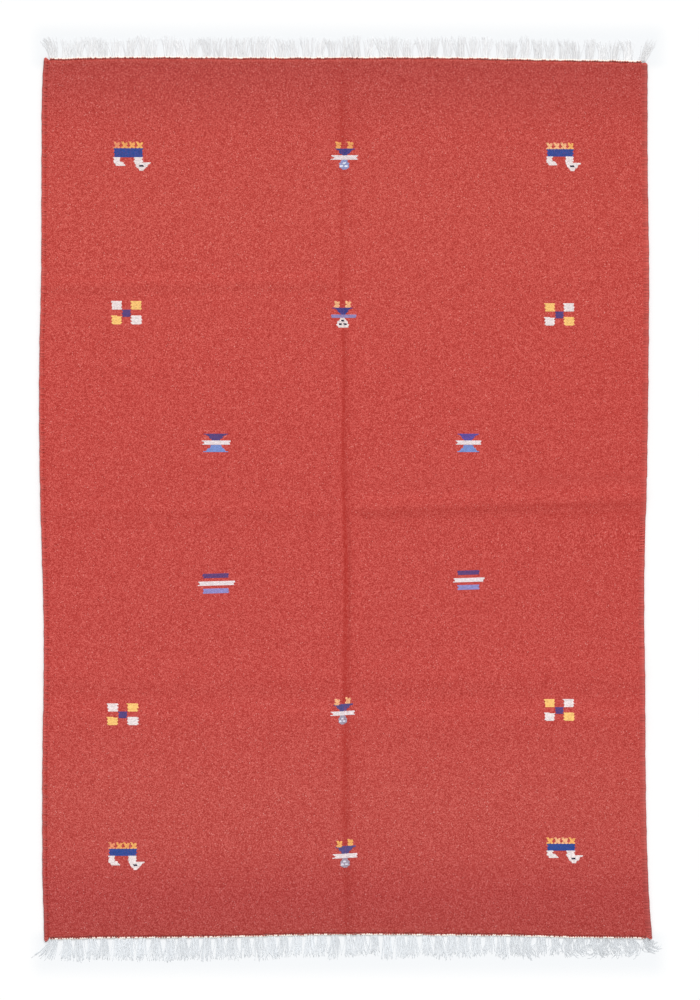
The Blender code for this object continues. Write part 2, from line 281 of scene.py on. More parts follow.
def on_floor(s, t, with_ears=True):
    """x and y of the cloth's point s, t: the sides draw each row wider or narrower in proportion to s,
    the fold's line shifts its middle, and the last rows bend to the line of the end."""
    side = np.where(s < 0, -curve_through(SIDES, 1, t), curve_through(SIDES, 2, t))
    outward = np.abs(s) / HALF_WIDTH
    side = side + RIPPLE * np.sign(s) * ripple(t) * outward**4
    x = s + side * outward + curve_through(LONG_FOLD, 1, t) * (1 - outward)
    y = t + fold_drift(s, t)
    for end in (1, -1):
        past = end * t - HALF_LENGTH
        line = curve_through(ENDS, 2 if end > 0 else 1, s) + RIPPLE * ripple(end * s + 0.3)
        y = y + end * line * ease(1 + past / END_EASE)
        if with_ears:
            y = y + end * end_shape(s, end) * ease(1 + past / EAR_EASE)
    return x + CLOTH_MIDDLE[0], y + CLOTH_MIDDLE[1]


def on_cloth(x, y):
    """s and t of the point of the cloth that lies at x, y: a guess, corrected by what it misses."""
    s = x - CLOTH_MIDDLE[0]
    t = y - CLOTH_MIDDLE[1]
    for step in range(6):
        found_x, found_y = on_floor(s, t, with_ears=False)
        s = s + x - found_x
        t = t + y - found_y
    return s, t


def undulation(s, t):
    """Three long waves, of 0.3 to 0.5 m, that cross each other, scaled to lie between 0 and 1."""
    waves = (
        np.sin(13 * s + 5 * t + 0.4) + np.sin(-7 * s + 17 * t + 1.9) + np.sin(19 * s - 11 * t + 4.0)
    )
    return 0.5 + waves / 6


def underside(s, t):
    """Height of the cloth's lower face."""
    return UNDERSIDE_CLEARANCE + fold_lift(s, t) + UNDULATION * undulation(s, t)


def top(s, t):
    """Height of the cloth's upper face: its lower face and the thickness of field or selvedge, which
    eases down to the thickness of the last picks at the ends."""
    thick = line_through(SELVEDGE, 1, HALF_WIDTH - np.abs(s))
    thinned = ease(1 - (HALF_LENGTH - np.abs(t)) / END_THINS)
    thick = thick + (END_THICKNESS - CLOTH_THICKNESS) * thinned
    return underside(s, t) - UNDERSIDE_CLEARANCE + thick


def graded(low, high, coarse, places):
    """Stations from low to high, `coarse` apart and FOLD_STEP apart within FOLD_REACH of the places. The
    spacing is summed up along the way, and a station is set where the sum passes each whole number."""
    at = np.linspace(low, high, 20001)
    near = np.min(np.abs(at[:, None] - np.array(places)), axis=1)
    spacing = FOLD_STEP + (coarse - FOLD_STEP) * ease((near - FOLD_REACH / 2) / FOLD_REACH)
    count = np.concatenate(([0], np.cumsum((at[1] - at[0]) / spacing[:-1])))
    return np.interp(np.linspace(0, count[-1], math.ceil(count[-1]) + 1), count, at)


def new_piece(name, points, quads, material):
    """A smooth mesh object at the origin, from an array of points and one of four-cornered faces."""
    mesh = bpy.data.meshes.new(name)
    mesh.vertices.add(len(points))
    mesh.vertices.foreach_set("co", points.astype(np.float32).ravel())
    mesh.loops.add(quads.size)
    mesh.loops.foreach_set("vertex_index", quads.astype(np.int32).ravel())
    mesh.polygons.add(len(quads))
    mesh.polygons.foreach_set("loop_start", np.arange(0, quads.size, 4, dtype=np.int32))
    mesh.polygons.foreach_set("use_smooth", np.ones(len(quads), bool))
    mesh.update(calc_edges=True)
    mesh.materials.append(material)
    piece = bpy.data.objects.new(name, mesh)
    bpy.context.scene.collection.objects.link(piece)
    return piece


def linear(colour):
    """The linear colour, with alpha 1, of an sRGB hex value such as "#C7514A"."""
    parts = [int(colour[k : k + 2], 16) / 255 for k in (1, 3, 5)]
    return (*[c / 12.92 if c <= 0.04045 else ((c + 0.055) / 1.055) ** 2.4 for c in parts], 1.0)


def add_node(tree, kind, inputs=(), **settings):
    """Adds a node with its settings and fills its inputs, in order or by name. A socket is linked, None
    is left as it is, and any other value is set. Returns the node's outputs."""
    node = tree.nodes.new("ShaderNode" + kind)
    for name, value in settings.items():
        setattr(node, name, value)
    pairs = inputs.items() if isinstance(inputs, dict) else enumerate(inputs)
    for key, value in pairs:
        if isinstance(value, bpy.types.NodeSocket):
            tree.links.new(value, node.inputs[key])
        elif value is not None:
            node.inputs[key].default_value = value
    return node.outputs


def new_material(name):
    """An empty node tree with its output, and the tree's one Principled shader, ready to be filled."""
    made = bpy.data.materials.new(name)
    made.use_nodes = True
    return made, made.node_tree, made.node_tree.nodes["Principled BSDF"]


# Hand-spun wool, weft-faced: each float of the weft shows its own tone, light and dark fibres are
# carded together in the yarn, and a few pale kemp hairs take no dye. It gives the eye a dry, matt,
# heathered red, without gloss. The floats are drawn 4.4 x 2.3 mm, a little coarser than they are.
FIBRE_SIZE = 0.0019  # tufts of light and dark fibre, coarse enough to show
FLOAT_PART = 0.30  # what a float, the fibres and the float's back add to the tone, beside a tuft's 1
FIBRE_PART = 0.40
# painted shade: the back's part makes each float lighter in its middle and darker at its ends
BACK_SHADE_PART = 0.10
TONE_SUM = 1 + FLOAT_PART + FIBRE_PART + BACK_SHADE_PART
HEATHER = (  # sum of the tone's parts, colour of the yarn there
    (0.25, "#9D2F28"),
    (0.90, "#BC443D"),
    (1.55, "#DA6C62"),
)
KEMP = "#F0B9AE"
KEMP_SHARE = 0.006  # share of the tufts that hold a kemp hair
KEMP_PALE = 0.32  # how far such a tuft turns to the kemp's colour
WANDER = 0.006  # the picks stray up to half of this from straight lines, in uneven waves
WANDERS = 22.0  # such waves a metre
PAINTED_SHADE_RED = "#9F2016"  # painted shade: in a crease, light bouncing between fibres takes up more dye
# Towards both ends the cloth is painted darker, as shade, and its outermost rows are painted lighter again.
DYE_LOTS_AND_SHADE = (  # t, what dye lot and painted shade give back of the heather's red, green and blue
    (-1.160, 0.86, 1.04, 1.10),
    (-1.155, 0.88, 1.08, 1.14),
    (-1.150, 0.82, 0.90, 0.96),
    (-1.140, 0.79, 0.86, 0.94),
    (-1.050, 0.82, 0.84, 0.94),
    (-0.930, 0.92, 1.02, 1.08),
    (-0.780, 0.96, 1.08, 1.12),
    (-0.550, 0.97, 0.97, 1.02),
    (0.300, 1.00, 0.97, 1.00),
    (0.750, 1.01, 1.06, 1.06),
    (0.960, 0.98, 1.01, 1.03),
    (1.130, 0.84, 0.90, 0.96),
    (1.150, 0.80, 0.89, 0.93),
    (1.155, 0.86, 1.10, 1.10),
    (1.160, 0.98, 1.18, 1.18),
)

wool, tree, shader = new_material("weft-faced hand-spun wool")
weave = add_node(tree, "UVMap", uv_map="weave")["UV"]
wander = add_node(tree, "TexNoise", {"Vector": weave, "Scale": WANDERS, "Detail": 2.0})["Color"]
wander = add_node(tree, "VectorMath", [wander, (0.5, 0.5, 0.5)], operation="SUBTRACT")[0]
wander = add_node(tree, "VectorMath", {0: wander, "Scale": WANDER}, operation="SCALE")[0]
along = add_node(tree, "VectorMath", [weave, wander], operation="ADD")[0]
place = add_node(tree, "SeparateXYZ", [along])
picks = add_node(tree, "Math", [place["Y"], PICK_PITCH], operation="DIVIDE")[0]
pick = add_node(tree, "Math", [picks], operation="FLOOR")[0]
in_pick = add_node(tree, "Math", [picks], operation="FRACT")[0]
odd = add_node(tree, "Math", [pick, 2.0], operation="FLOORED_MODULO")[0]
warps = add_node(tree, "Math", [place["X"], WARP_PITCH], operation="DIVIDE")[0]
warps = add_node(tree, "Math", [odd, 0.5, warps], operation="MULTIPLY_ADD")[0]
warp = add_node(tree, "Math", [warps], operation="FLOOR")[0]
in_warp = add_node(tree, "Math", [warps], operation="FRACT")[0]
float_number = add_node(tree, "CombineXYZ", [warp, pick])[0]
float_tone = add_node(tree, "TexWhiteNoise", [float_number], noise_dimensions="2D")["Value"]

# The float's round back: highest in its middle, and lower towards the next warp and the next weft.
# It bumps the float, and it also paints the float lighter in its middle and darker at its ends, as shade.
backs = []
for part in (in_warp, in_pick):
    half_turn = add_node(tree, "Math", [part, math.pi], operation="MULTIPLY")[0]
    backs.append(add_node(tree, "Math", [half_turn], operation="SINE")[0])
back = add_node(tree, "Math", backs, operation="MULTIPLY")[0]

tuft = add_node(tree, "VectorMath", {0: along, "Scale": 1 / FIBRE_SIZE}, operation="SCALE")[0]
fibres = add_node(tree, "TexNoise", {"Vector": tuft, "Scale": 1.0, "Detail": 1.0})["Fac"]
tuft = add_node(tree, "VectorMath", [tuft], operation="FLOOR")[0]
tuft = add_node(tree, "TexWhiteNoise", [tuft], noise_dimensions="2D")["Value"]
tone = add_node(tree, "Math", [float_tone, FLOAT_PART, tuft], operation="MULTIPLY_ADD")[0]
tone = add_node(tree, "Math", [fibres, FIBRE_PART, tone], operation="MULTIPLY_ADD")[0]
tone = add_node(tree, "Math", [back, BACK_SHADE_PART, tone], operation="MULTIPLY_ADD")[0]
tone = add_node(tree, "Math", [tone, TONE_SUM], operation="DIVIDE")[0]
ramp = add_node(tree, "ValToRGB", [tone])["Color"]
stops = ramp.node.color_ramp.elements
stops.new(0.5)
for stop, (parts, hex_value) in zip(stops, HEATHER):
    stop.position = parts / TONE_SUM
    stop.color = linear(hex_value)
kemp = add_node(tree, "Math", [tuft, 1 - KEMP_SHARE], operation="GREATER_THAN")[0]
kemp = add_node(tree, "Math", [kemp, KEMP_PALE], operation="MULTIPLY")[0]
red = add_node(tree, "Mix", {0: kemp, 6: ramp, 7: linear(KEMP)}, data_type="RGBA")[2]
distance_up = add_node(tree, "SeparateXYZ", [weave])["Y"]
share = add_node(tree, "MapRange", [distance_up, -HALF_LENGTH, HALF_LENGTH, 0.0, 1.0])[0]
# dye lots along the cloth, with painted shade and light towards the ends
lots_and_shade = add_node(tree, "ValToRGB", [share])["Color"]
stops = lots_and_shade.node.color_ramp.elements
while len(stops) < len(DYE_LOTS_AND_SHADE):
    stops.new(0.5)
for stop, (t, *lot_and_shade) in zip(stops, DYE_LOTS_AND_SHADE):
    stop.position = (t + HALF_LENGTH) / CLOTH_LENGTH
    stop.color = (*lot_and_shade, 1.0)
# Painted shade: the creases, the groove beside the left selvedge and the sides are mixed towards a deep red
shade = add_node(tree, "Attribute", attribute_name="crease")["Fac"]
red = add_node(tree, "Mix", {0: shade, 6: red, 7: linear(PAINTED_SHADE_RED)}, data_type="RGBA")[2]
red = add_node(tree, "VectorMath", [red, lots_and_shade], operation="MULTIPLY")[0]
tree.links.new(red, shader.inputs["Base Color"])
relief = add_node(tree, "Math", [fibres, 0.5, back], operation="MULTIPLY_ADD")[0]
bump = add_node(tree, "Bump", {"Strength": 0.5, "Distance": 0.0005, "Height": relief})[0]
tree.links.new(bump, shader.inputs["Normal"])
shader.inputs["Roughness"].default_value = 0.95
shader.inputs["Specular IOR Level"].default_value = 0.15


def cloth_sheet(name, material):
    """The closed sheet: a grid of columns and rows for its upper face, the same grid turned over for its
    lower face, and a wall of one face round the rim between them. UV map "weave" holds s and t, and
    attribute "crease" the share of painted shade in the creases, the left groove and at the sides."""
    inner = [HALF_WIDTH - row[0] for row in SELVEDGE]
    folds = [row[1] for row in CROSS_FOLDS]
    middle = graded(SIDE_MARGIN - HALF_WIDTH, HALF_WIDTH - SIDE_MARGIN, COLUMN_STEP, [0.0])
    s_line = np.array(sorted([-s for s in inner] + list(middle) + inner))
    middle = graded(-HALF_LENGTH + EAR_EASE, HALF_LENGTH - EAR_EASE, ROW_STEP, folds)
    last = (0.0, EAR_EASE / 4, EAR_EASE / 2, EAR_EASE * 3 / 4)
    t_line = np.array(
        [-HALF_LENGTH + d for d in last] + list(middle) + [HALF_LENGTH - d for d in reversed(last)]
    )
    t, s = np.meshgrid(t_line, s_line, indexing="ij")
    x, y = on_floor(s, t)
    upper = np.stack((x, y, top(s, t)), axis=2).reshape(-1, 3)
    lower = np.stack((x, y, underside(s, t)), axis=2).reshape(-1, 3)
    rows, columns = s.shape
    number = np.arange(rows * columns).reshape(rows, columns)
    quads = np.stack(
        (number[:-1, :-1], number[:-1, 1:], number[1:, 1:], number[1:, :-1]), axis=2
    ).reshape(-1, 4)
    rim = np.concatenate((number[0, :-1], number[:-1, -1], number[-1, :0:-1], number[:0:-1, 0]))
    ahead = np.roll(rim, -1)
    under = rows * columns
    wall = np.stack((rim, rim + under, ahead + under, ahead), axis=1)
    faces = np.concatenate((quads, quads[:, ::-1] + under, wall))
    piece = new_piece(name, np.concatenate((upper, lower)), faces, material)
    # the share of painted shade at each point of the sheet
    tone = np.tile(painted_shade_share(s, t).ravel(), 2).astype(np.float32)
    piece.data.attributes.new("crease", "FLOAT", "POINT").data.foreach_set("value", tone)
    flat = np.tile(np.stack((s, t), axis=2).reshape(-1, 2), (2, 1))
    piece.data.uv_layers.new(name="weave").data.foreach_set(
        "uv", flat[faces.ravel()].astype(np.float32).ravel()
    )
    return piece


cloth = cloth_sheet("woven_cloth", wool)
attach(cloth, "root")
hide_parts("kilim_cloth")

# ----------------------------------------------------------
# The motifs: small figures inlaid in dyed wool as the cloth is woven, in the same wefts' places. Each
# yarn passes over one warp and under the next, so a motif is rows of short floats, one row to a pick,
# with uneven sides where the yarn turns back. Both faces of the cloth show them.
# ----------------------------------------------------------
MM = 0.001
FLOAT_LENGTH = 4.4  # mm, over one warp
FLOAT_ROW = 2.2  # mm, from one pick of the motif to the next
FLOAT_HEIGHT = 1.0  # mm
FLOAT_OVERLAP = 1.28  # width of a float to the distance between two picks
FLOAT_TURN = 2.0  # mm that every second pair of picks turns further out at the sides of a motif
FLOAT_UNEVEN = 1.1  # mm that the sides of a row are set in or out by chance
FLOAT_LEAST = 0.4  # share of its length that the first or last float of a row keeps at least
FLOAT_TONES = (0.84, 1.12)  # least and greatest share of its yarn's colour that a float gives back
FLOAT_FORMS = {  # piece's ending, stations: place (-1 to 1 from end to end), share of width, dive in mm
    "": ((-1.08, 0.62, 0.22), (-0.50, 0.96, 0.03), (0.50, 0.96, 0.03), (1.08, 0.62, 0.22)),
    "_back": ((-1.05, 0.85, 0.10), (1.05, 0.85, 0.10)),
}

YARNS = {  # colour, mm that the backs of its floats stand above the cloth
    "salmon": ("#E8966C", 0.45),
    "orange": ("#EDA763", 0.45),
    "peach": ("#F3B988", 0.45),
    "yellow": ("#F3B469", 0.45),
    "pale yellow": ("#FBCB7C", 0.45),
    "blue": ("#2F4F98", 0.45),
    "indigo": ("#40468A", 0.45),
    "dusty violet": ("#595288", 0.45),
    "dark violet": ("#55487F", 0.45),
    "plum": ("#594880", 0.45),
    "bright violet": ("#5F52A2", 0.45),
    "light blue": ("#7D97D1", 0.45),
    "mauve": ("#9592CA", 0.45),
    "lilac": ("#958BBA", 0.45),
    "grey blue": ("#8F9BC6", 0.45),
    "grey": ("#A69DAE", 0.45),
    "white": ("#EEE2E1", 0.50),
    "soft white": ("#EDE2E4", 0.50),
    "white dots": ("#EEF0FC", 0.90),
    "grey dots": ("#E2DEEA", 0.90),
    "dark dots": ("#29243C", 0.90),
}

# Each area of a motif is a yarn and the stations of its outline in mm: drop below the motif's middle
# line, left side and right side. Rows of floats fill it from its first station to its last.


def goat_foot(left, yarn):
    """One foot of the animal, 17 mm wide: a small block with two horns above it and two toes below."""
    return (
        (yarn, ((-18, left - 1, left + 3.5), (-13.5, left + 2, left + 6.5))),
        (yarn, ((-16.5, left + 12, left + 16), (-13.5, left + 9.5, left + 14.5))),
        (yarn, ((-13.6, left + 2, left + 15), (-8, left + 2.5, left + 14.5), (-3.5, left + 2, left + 14.5))),
        (yarn, ((-4, left, left + 6), (-0.5, left - 1.5, left + 5))),
        (yarn, ((-4, left + 9, left + 15), (-0.5, left + 10, left + 16))),
    )


def animal(feet, belly, knee, beak):
    """The animal on its back: feet of three yarns, body down to `belly`, hind leg with its foot from
    `knee` down, and neck with a beak that starts at `beak`. These three are drops in mm."""
    return (
        *goat_foot(0.0, feet[0]),
        *goat_foot(20.5, feet[1]),
        *goat_foot(40.0, feet[1]),
        *goat_foot(60.0, feet[2]),
        ("blue", ((-1, 1, 76), (belly, 1, 75))),
        ("white", ((belly - 0.5, 0, 16), (knee + 0.5, 0, 15))),
        ("white", ((knee, 0, 21), (knee + 4, 1, 25), (knee + 7.5, 3, 30), (knee + 11, 8, 29))),
        ("white", ((belly - 0.5, 54, 75), (beak, 53, 75))),
        ("white", ((beak - 0.5, 54, 97), (beak + 4, 56, 93), (beak + 10, 59, 87))),
        ("white", ((beak + 9.5, 60, 87), (beak + 16, 63, 82), (beak + 21.5, 70, 76))),
        ("dark dots", ((beak + 6.2, 66.5, 75), (beak + 10.6, 69, 78.5))),
    )


def figure_foot(left, yarn, up=0):
    """One foot of the standing figure, 15 mm wide, `up` mm above the skirt's edge."""
    return (
        (yarn, ((-19 - up, left, left + 4.5), (-15.5 - up, left + 2, left + 7))),
        (yarn, ((-17.5 - up, left + 11.5, left + 15), (-15 - up, left + 8.5, left + 13.5))),
        (yarn, ((-15.5 - up, left + 2, left + 14.5), (-8 - up, left + 2, left + 13.5))),
        (yarn, ((-8 - up, left + 1.5, left + 13.5), (-1 - up, left - 1, left + 14))),
    )


FORKED_ARMS = ((16.5, -36, 33), (19.5, -31, 34), (22.5, -28, 33), (25.5, -31, 34), (28.5, -37, 33))
THIN_ARMS = ((17.5, -31, 36), (20, -33, 38), (23.5, -31, 37), (26.5, -33, 36))
ROUND_HEAD = (  # outline, nose, two eyes
    ((28, -4, 4), (31.5, -9, 8), (36.5, -12, 11), (44, -13, 13), (50, -11, 11), (54.5, -5, 6)),
    ((35.5, -3.5, 2), (40.5, -3.5, 2)),
    ((42.5, -11, -4.5), (48, -11, -4.5)),
    ((43.5, 1.5, 7), (48, 1.5, 7)),
)
BELL_HEAD = (
    ((25.5, -3, 3), (29, -7, 6), (33, -11, 10), (39.5, -15.5, 14), (45, -17, 16), (52.5, -13.5, 17)),
    ((31.5, -4.5, 1.5), (36, -1.5, 4)),
    ((41, -8.5, -2), (45.5, -10, -3.5)),
    ((41, 3.5, 9), (45.5, 4, 9.5)),
)


def figure(yarns, hem, arms, head, step=0):
    """The standing figure, with yarns for its feet, skirt, arms, head and the dots of nose and eyes. `hem`
    is the two ends of the skirt's edge, and `step` is how far in mm its right side is lifted."""
    feet, skirt, sleeves, face, dots = yarns
    outline, *marks = head
    return (
        *figure_foot(-23.5, feet),
        *figure_foot(7.5, feet, step),
        (skirt, ((-1 - step, 4, hem[1]), (-1, *hem), (1.5, -20, 23), (6, -16, 18), (17.5, -6, 7))),
        (sleeves, arms),
        (face, outline),
        *((dots, mark) for mark in marks),
    )


BLUE_FACE = ("orange", "indigo", "soft white", "grey blue", "white dots")
WHITE_FACE = ("peach", "indigo", "lilac", "white", "dark dots")
GREY_FACE = ("peach", "dusty violet", "soft white", "grey", "grey dots")
GOLDEN_FEET = ("yellow", "dusty violet", "soft white", "grey", "grey dots")


def four_squares(first, second):
    """Four squares about a fifth, each with a prong at one of its corners."""
    return (
        (first, ((-32, -42, -14), (-29, -40, -13), (-12, -39, -13), (-9, -38, -15))),
        (second, ((-32, 11, 38), (-28, 13, 40), (-12, 13, 40), (-9, 15, 38))),
        ("plum", ((-9, -11, 11), (10, -11, 11))),
        (second, ((6.5, -43, -37), (9, -40, -13), (27, -40, -14), (30, -37, -16))),
        (first, ((6.5, 14, 37), (10, 12.5, 41), (27, 13, 41), (30, 16, 39))),
    )


def hourglass(yarn):
    """Two triangles, tip to tip, with a bar laid across between them."""
    return (
        (yarn, ((-23.5, -36, 34), (-21, -27, 26), (-13, -18, 16), (-5.5, -13, 10))),
        ("soft white", ((-5.5, -38, 36), (-3, -34, 37), (0, -32, 36), (3, -34, 37), (5.5, -37, 35))),
        ("light blue", ((6, -12, 11), (14, -18, 18), (22, -28, 26), (25, -35, 33))),
    )


BARS = (
    ("plum", ((-26, -32, 33), (-20, -36, 34), (-14, -32, 32))),
    ("soft white", ((-5.5, -47, 49), (-2, -44, 50), (2, -44, 48), (5.7, -47, 45))),
    ("mauve", ((13.5, -34, 32), (20, -33, 33.5), (26.5, -34, 32))),
)
MOTIFS = (  # piece, then for each motif: areas, x and y in mm, size across and along, slant to the right
    ("animals", (
        (animal(("salmon", "orange", "yellow"), 23.5, 35, 37.5), -619.5, 929.0, 1.00, 1.00, 0.00),
        (animal(("peach", "peach", "yellow"), 19.5, 32, 37), 523.0, 926.5, 0.93, 0.98, 0.00),
        (animal(("salmon", "orange", "yellow"), 18.5, 33, 35), -632.5, -920.4, 0.96, 0.98, 0.00),
        (animal(("yellow", "peach", "yellow"), 18.5, 27.5, 32), 524.0, -907.2, 0.97, 0.95, 0.00),
    )),
    ("figures", (
        (figure(BLUE_FACE, (-27, 29), FORKED_ARMS, ROUND_HEAD), -11.0, 927.5, 1.00, 1.00, 0.00),
        (figure(WHITE_FACE, (-36, 31), THIN_ARMS, BELL_HEAD), -15.5, 507.5, 0.95, 0.98, 0.00),
        (figure(GREY_FACE, (-27, 29), FORKED_ARMS, ROUND_HEAD, 3), -15.5, -541.0, 0.90, 0.92, 0.06),
        (figure(GOLDEN_FEET, (-27, 29), FORKED_ARMS, ROUND_HEAD, 3), -9.5, -916.0, 0.94, 0.98, 0.06),
    )),
    ("crosses", (
        (four_squares("white", "pale yellow"), -586.5, 494.5, 0.97, 1.00, 0.00),
        (four_squares("pale yellow", "white"), 556.5, 490.0, 0.95, 0.95, 0.00),
        (four_squares("white", "pale yellow"), -596.0, -565.5, 1.00, 0.92, 0.00),
        (four_squares("pale yellow", "white"), 556.0, -554.0, 0.95, 0.92, 0.00),
    )),
    ("hourglasses", (
        (hourglass("dark violet"), -349.5, 152.5, 1.00, 1.00, 0.00),
        (hourglass("bright violet"), 316.5, 152.5, 0.90, 1.00, 0.00),
    )),
    ("bars", (
        (BARS, -350.0, -219.0, 1.00, 1.00, 0.03),
        (BARS, 316.5, -210.0, 0.84, 0.97, 0.03),
    )),
)


def new_yarns(name, paths, half_widths, half_heights, dyes, material, sideways=None):
    """One mesh of many yarns. paths holds yarns x stations x 3, and each station is ringed by six points
    at path + half width * cos(turn) * level + half height * sin(turn) * upright. Level is the part of
    `sideways` that is square to the path, or else lies flat, and upright is square to both. Both ends
    are closed, and point colour "dye" holds the colour of each yarn, or of each of its stations."""
    along = np.gradient(paths, axis=1)
    along /= np.linalg.norm(along, axis=2, keepdims=True)
    if sideways is None:
        level = np.cross(along, (0.0, 0.0, 1.0))
    else:
        level = sideways - along * (along @ np.array(sideways))[..., None]
    level /= np.linalg.norm(level, axis=2, keepdims=True)
    upright = np.cross(level, along)
    half_widths = np.broadcast_to(half_widths, paths.shape[:2])[..., None, None]
    half_heights = np.broadcast_to(half_heights, paths.shape[:2])[..., None, None]
    turn = 2 * math.pi * (np.arange(6)[:, None] + 0.5) / 6
    ring = (
        paths[:, :, None]
        + half_widths * np.cos(turn) * level[:, :, None]
        + half_heights * np.sin(turn) * upright[:, :, None]
    )
    number = np.arange(ring.size // 3).reshape(ring.shape[:3])
    beside = np.roll(number, -1, axis=2)
    skin = np.stack((number[:, :-1], number[:, 1:], beside[:, 1:], beside[:, :-1]), axis=3)
    first, last = number[:, 0], number[:, -1]
    quads = np.concatenate(
        (skin.reshape(-1, 4), first[:, :4], first[:, [0, 3, 4, 5]], last[:, 3::-1], last[:, [5, 4, 3, 0]])
    )
    piece = new_piece(name, ring.reshape(-1, 3), quads, material)
    colours = np.ones((*ring.shape[:3], 4), np.float32)
    colours[..., :3] = np.clip(dyes, 0, 1).reshape(len(paths), -1, 1, 3)
    dye = piece.data.attributes.new("dye", "FLOAT_COLOR", "POINT")
    dye.data.foreach_set("color", colours.ravel())
    return piece


def float_rows(outline, draw):
    """Start, end and drop in mm of every float in one area: at each pick the area's two sides are read
    off its outline, every second pair of picks turns further out, and the row is parted at every second
    warp."""
    drops, lefts, rights = (np.array(column, float) for column in zip(*outline))
    count = max(1, round((drops[-1] - drops[0]) / FLOAT_ROW))
    found = []
    for pick in range(count):
        drop = drops[0] + (pick + 0.5) / count * (drops[-1] - drops[0])
        turn = -FLOAT_TURN / 2 if pick // 2 % 2 else FLOAT_TURN / 2
        left = np.interp(drop, drops, lefts) - turn + draw.uniform(-FLOAT_UNEVEN, FLOAT_UNEVEN)
        right = np.interp(drop, drops, rights) + turn + draw.uniform(-FLOAT_UNEVEN, FLOAT_UNEVEN)
        first = math.ceil(left / FLOAT_LENGTH + FLOAT_LEAST) + (0.5 if pick % 2 else 0.0)
        joints = np.arange(first, right / FLOAT_LENGTH - FLOAT_LEAST) * FLOAT_LENGTH
        joints = np.concatenate(([left], joints, [right]))
        found.append(np.stack((joints[:-1], joints[1:], np.full(len(joints) - 1, drop)), axis=1))
    return np.concatenate(found)


def inlay(name, placed, form, on_back, seed, material):
    """All the floats of like motifs on the cloth's front or back as one mesh: each is a short yarn, laid
    along its pick on that face, thickest in its middle and dipping between the warps at its ends."""
    draw = np.random.default_rng(seed)
    found, heights, dyes = [], [], []
    for areas, x, y, across, along, slant in placed:
        for yarn, outline in areas:
            rows = float_rows(outline, draw)
            start_x, stop_x = rows[:, 0] * across, rows[:, 1] * across
            level = y - rows[:, 2] * along
            ends = (x + start_x, level + slant * start_x, x + stop_x, level + slant * stop_x)
            found.append(np.stack(ends, axis=1) * MM)
            colour, proud = YARNS[yarn]
            heights.append(np.full(len(rows), (proud - FLOAT_HEIGHT / 2) * MM))
            dyes.append(np.array(linear(colour)[:3]) * draw.uniform(*FLOAT_TONES, (len(rows), 1)))
    ends = np.concatenate(found)
    place, width, dive = (np.array(column) for column in zip(*form))
    x = ends[:, :1] + (ends[:, 2:3] - ends[:, :1]) * (place + 1) / 2
    y = ends[:, 1:2] + (ends[:, 3:] - ends[:, 1:2]) * (place + 1) / 2
    s, t = on_cloth(x, y)
    proud = np.concatenate(heights)[:, None] - dive * MM
    z = np.maximum(underside(s, t) - proud, FLOAT_HEIGHT * MM / 2) if on_back else top(s, t) + proud
    half_widths = width * FLOAT_ROW * FLOAT_OVERLAP * MM / 2
    half_heights = width * FLOAT_HEIGHT * MM / 2
    paths = np.stack((x, y, z), axis=2)
    return new_yarns(name, paths, half_widths, half_heights, np.concatenate(dyes), material)


# Dyed wool yarn, carded and hand spun: the dye is held in each float's own colour, and the fibres
# lighten and darken it a little. Dry and matt like the field.
DYED_TUFTS = 700.0  # tufts of light and dark fibre a metre
DYED_LIGHT = (0.80, 1.16)  # what the darkest and the lightest of them give back of the yarn's colour
dyed_yarn, tree, shader = new_material("dyed hand-spun wool yarn")
colour = add_node(tree, "Attribute", attribute_name="dye")["Color"]
where = add_node(tree, "TexCoord")["Object"]
fibres = add_node(tree, "TexNoise", {"Vector": where, "Scale": DYED_TUFTS, "Detail": 1.0})["Fac"]
light = add_node(tree, "MapRange", [fibres, 0.25, 0.75, *DYED_LIGHT])[0]
colour = add_node(tree, "VectorMath", {0: colour, "Scale": light}, operation="SCALE")[0]
tree.links.new(colour, shader.inputs["Base Color"])
bump = add_node(tree, "Bump", {"Strength": 0.3, "Distance": 0.0003, "Height": fibres})[0]
tree.links.new(bump, shader.inputs["Normal"])
shader.inputs["Roughness"].default_value = 0.95
shader.inputs["Specular IOR Level"].default_value = 0.15

for seed, (name, placed) in enumerate(MOTIFS, start=21):
    for ending, form in FLOAT_FORMS.items():
        motif = inlay("inlaid_" + name + ending, placed, form, ending == "_back", seed, dyed_yarn)
        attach(motif, "root")

# ----------------------------------------------------------
# The selvedges: a red yarn is wrapped turn by turn round the outermost warps at each side, into a
# round rib. At the left some turns, here and there, reach less far in and leave small dark holes,
# whose groove in the cloth beneath is painted a deeper red as shade.
# ----------------------------------------------------------
TURN_PITCH = 0.0040
# The colour shares paint light on the rib's crest and shade down its outer side to the floor, and the pale
# share is a painted highlight on the crest and the outer side.
TURN_PATH = (  # distance in from the side, height, share of the yarn's colour left and right, share pale
    (0.0168, 0.0028, 0.96, 1.00, 0.00),
    (0.0138, 0.0040, 0.96, 1.02, 0.00),
    (0.0100, 0.0046, 0.98, 1.02, 0.00),
    (0.0052, 0.0058, 1.08, 1.03, 0.07),
    (0.0020, 0.0052, 0.94, 0.88, 0.08),
    (0.0004, 0.0036, 0.76, 0.70, 0.04),
    (0.0003, 0.0018, 0.66, 0.62, 0.00),
)
TURN_SLANT = 0.0022  # along the side, from one end of a turn to the other
TURN_HALF_WIDTH = 0.0022
TURN_HALF_HEIGHT = 0.0007
TURN_TONES = (0.88, 1.12)  # as FLOAT_TONES, of a turn
TURN_JOG = 0.1  # share of the pitch that a turn lies off its even place at most
SHORT_TURNS = 0.72  # share of the turns that stop short of the groove
SHORT_VARIES = (0.6, 1.2)  # least and greatest share of the shortness below that such a turn has
SIDES_WRAPPED = (  # piece, side, how much less far in a short turn reaches, seed
    ("selvedge_left", -1, 0.0066, 31),
    ("selvedge_right", 1, 0.0000, 32),
)
SELVEDGE_RED = "#C45149"


